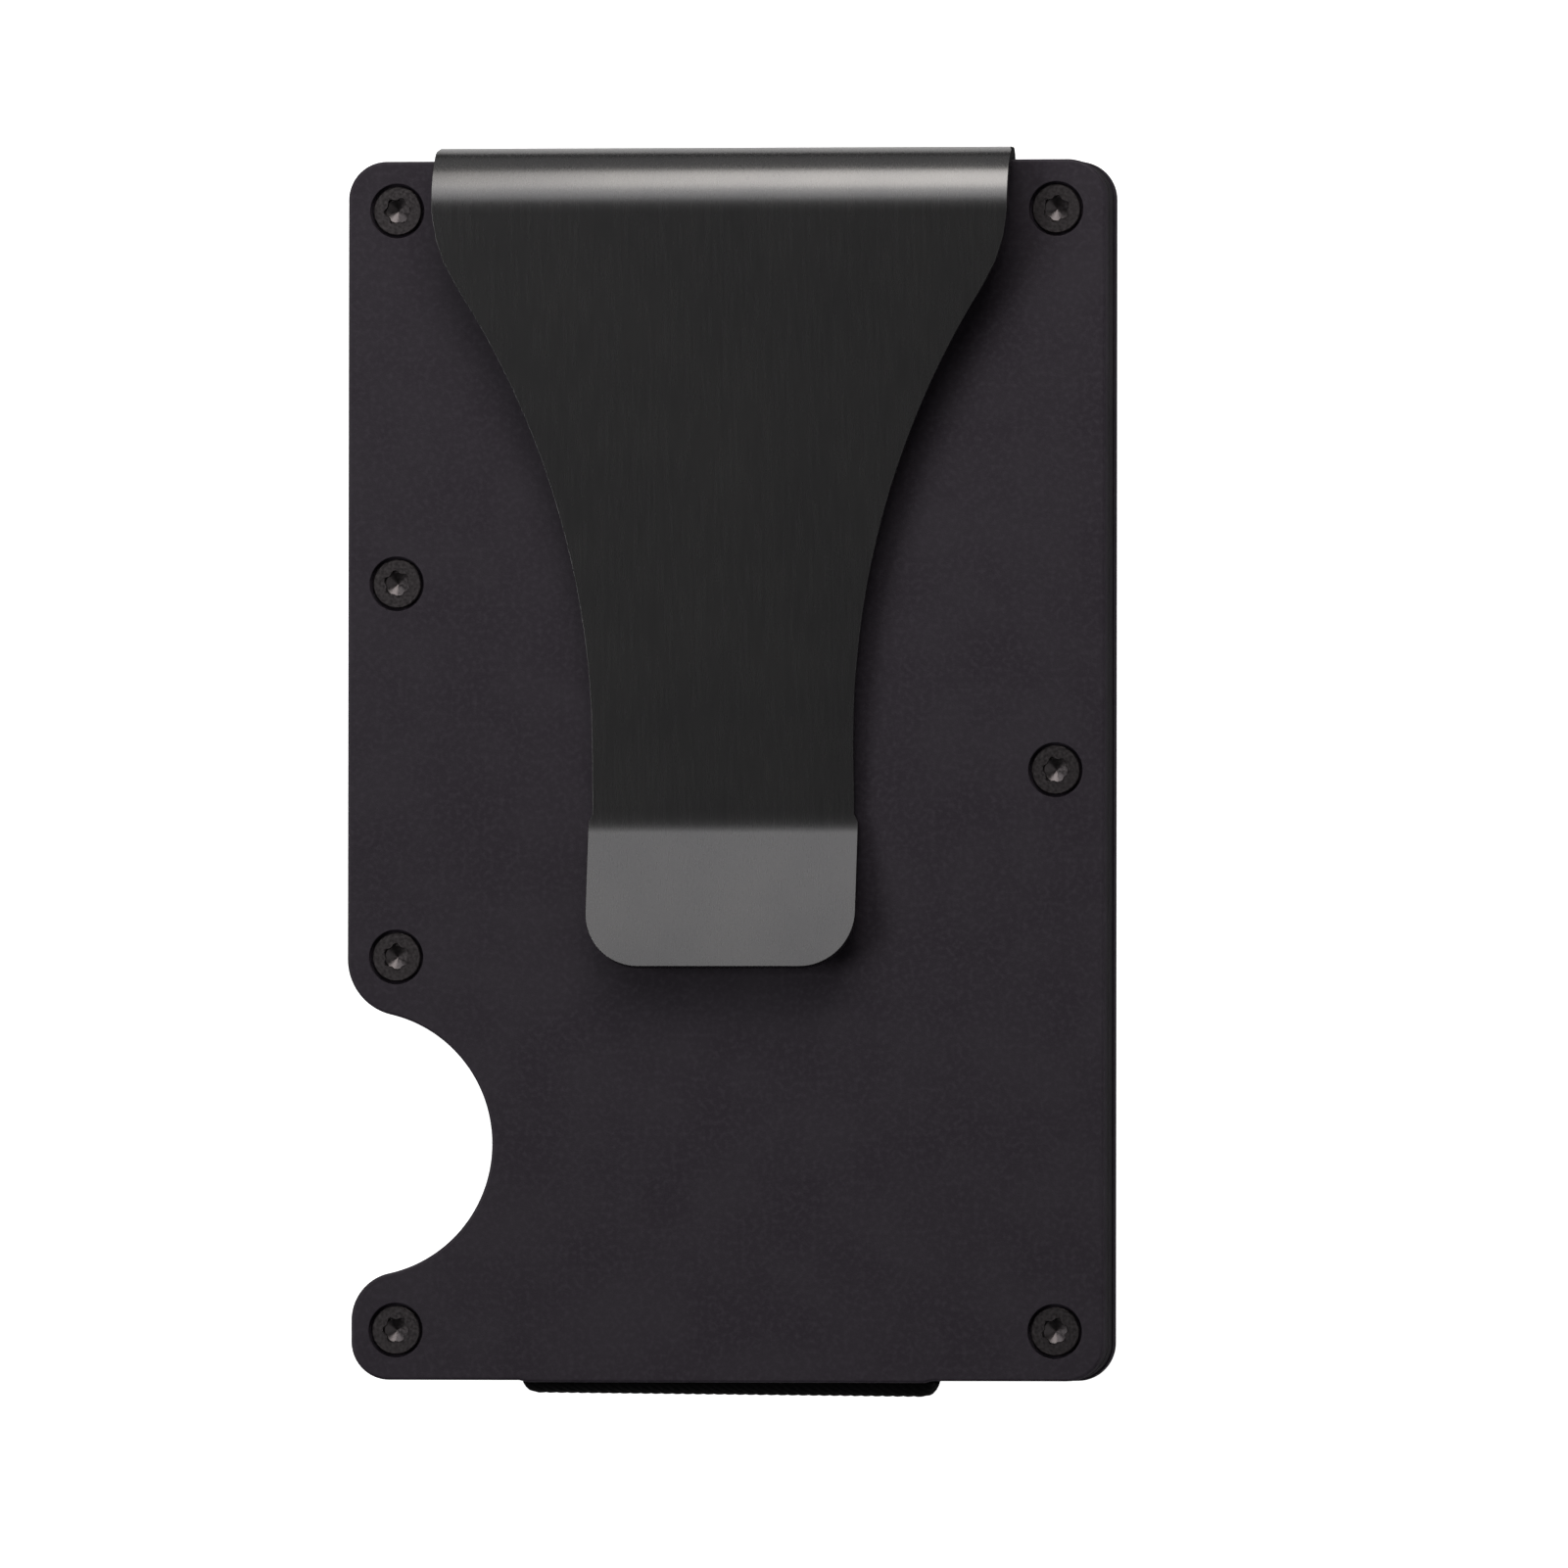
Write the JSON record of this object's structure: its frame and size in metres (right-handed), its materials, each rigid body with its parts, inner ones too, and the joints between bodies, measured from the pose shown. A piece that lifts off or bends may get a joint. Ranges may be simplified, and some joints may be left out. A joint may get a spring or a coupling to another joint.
{
  "type": "minimalist wallet",
  "caption": "Slim metal card wallet: two anodised plates held together by elastic, with a thumb notch and a spring-steel money clip over one short edge.",
  "frame": {"origin": "centre of the back plate's outer face, which the wallet lies on", "axes": "+X right seen from the front, with the thumb notch on the -X edge; +Y along the long side towards the bend of the money clip; +Z out of the front face, up when the wallet lies on its back"},
  "size_m": [0.054, 0.0879, 0.0097],
  "materials": {
    "anodised_plate": "matte black anodised, faintly purple, fine bead-blasted grain",
    "anodised_liner": "matte black anodised, milled",
    "spring_steel": "dark satin-coated spring steel, faint brushing along the tongue",
    "screw_steel": "black oxide",
    "elastic": "ribbed woven elastic, black"
  },
  "bodies": {
    "back_half": {"outer_plate_back": "anodised_plate", "inner_plate_back": "anodised_liner", "elastic_loop": "elastic", "elastic_side_strap": "elastic", "back_screw_top_left": "screw_steel", "back_screw_upper_left": "screw_steel", "back_screw_lower_left": "screw_steel", "back_screw_bottom_left": "screw_steel", "back_screw_top_right": "screw_steel", "back_screw_middle_right": "screw_steel", "back_screw_bottom_right": "screw_steel"},
    "front_half": {"outer_plate_front": "anodised_plate", "inner_plate_front": "anodised_liner", "money_clip_mount": "spring_steel", "front_screw_top_left": "screw_steel", "front_screw_upper_left": "screw_steel", "front_screw_lower_left": "screw_steel", "front_screw_bottom_left": "screw_steel", "front_screw_top_right": "screw_steel", "front_screw_middle_right": "screw_steel", "front_screw_bottom_right": "screw_steel"},
    "clip": {"money_clip": "spring_steel"}
  },
  "joints": [
    {"name": "halves_spread", "type": "slide", "parent": "back_half", "child": "front_half", "axis": [0, 0, 1], "range_m": [0, 0.009], "stiffness_N_per_m": 600, "springref_m": -0.004, "deforming": ["elastic_loop", "elastic_side_strap"]},
    {"name": "clip_flex", "type": "hinge", "parent": "front_half", "child": "clip", "pos_m": [0, 0.0435, 0.0062], "axis": [-1, 0, 0], "range_deg": [0, 6], "stiffness_Nm_per_rad": 2, "springref_deg": -2.86}
  ]
}
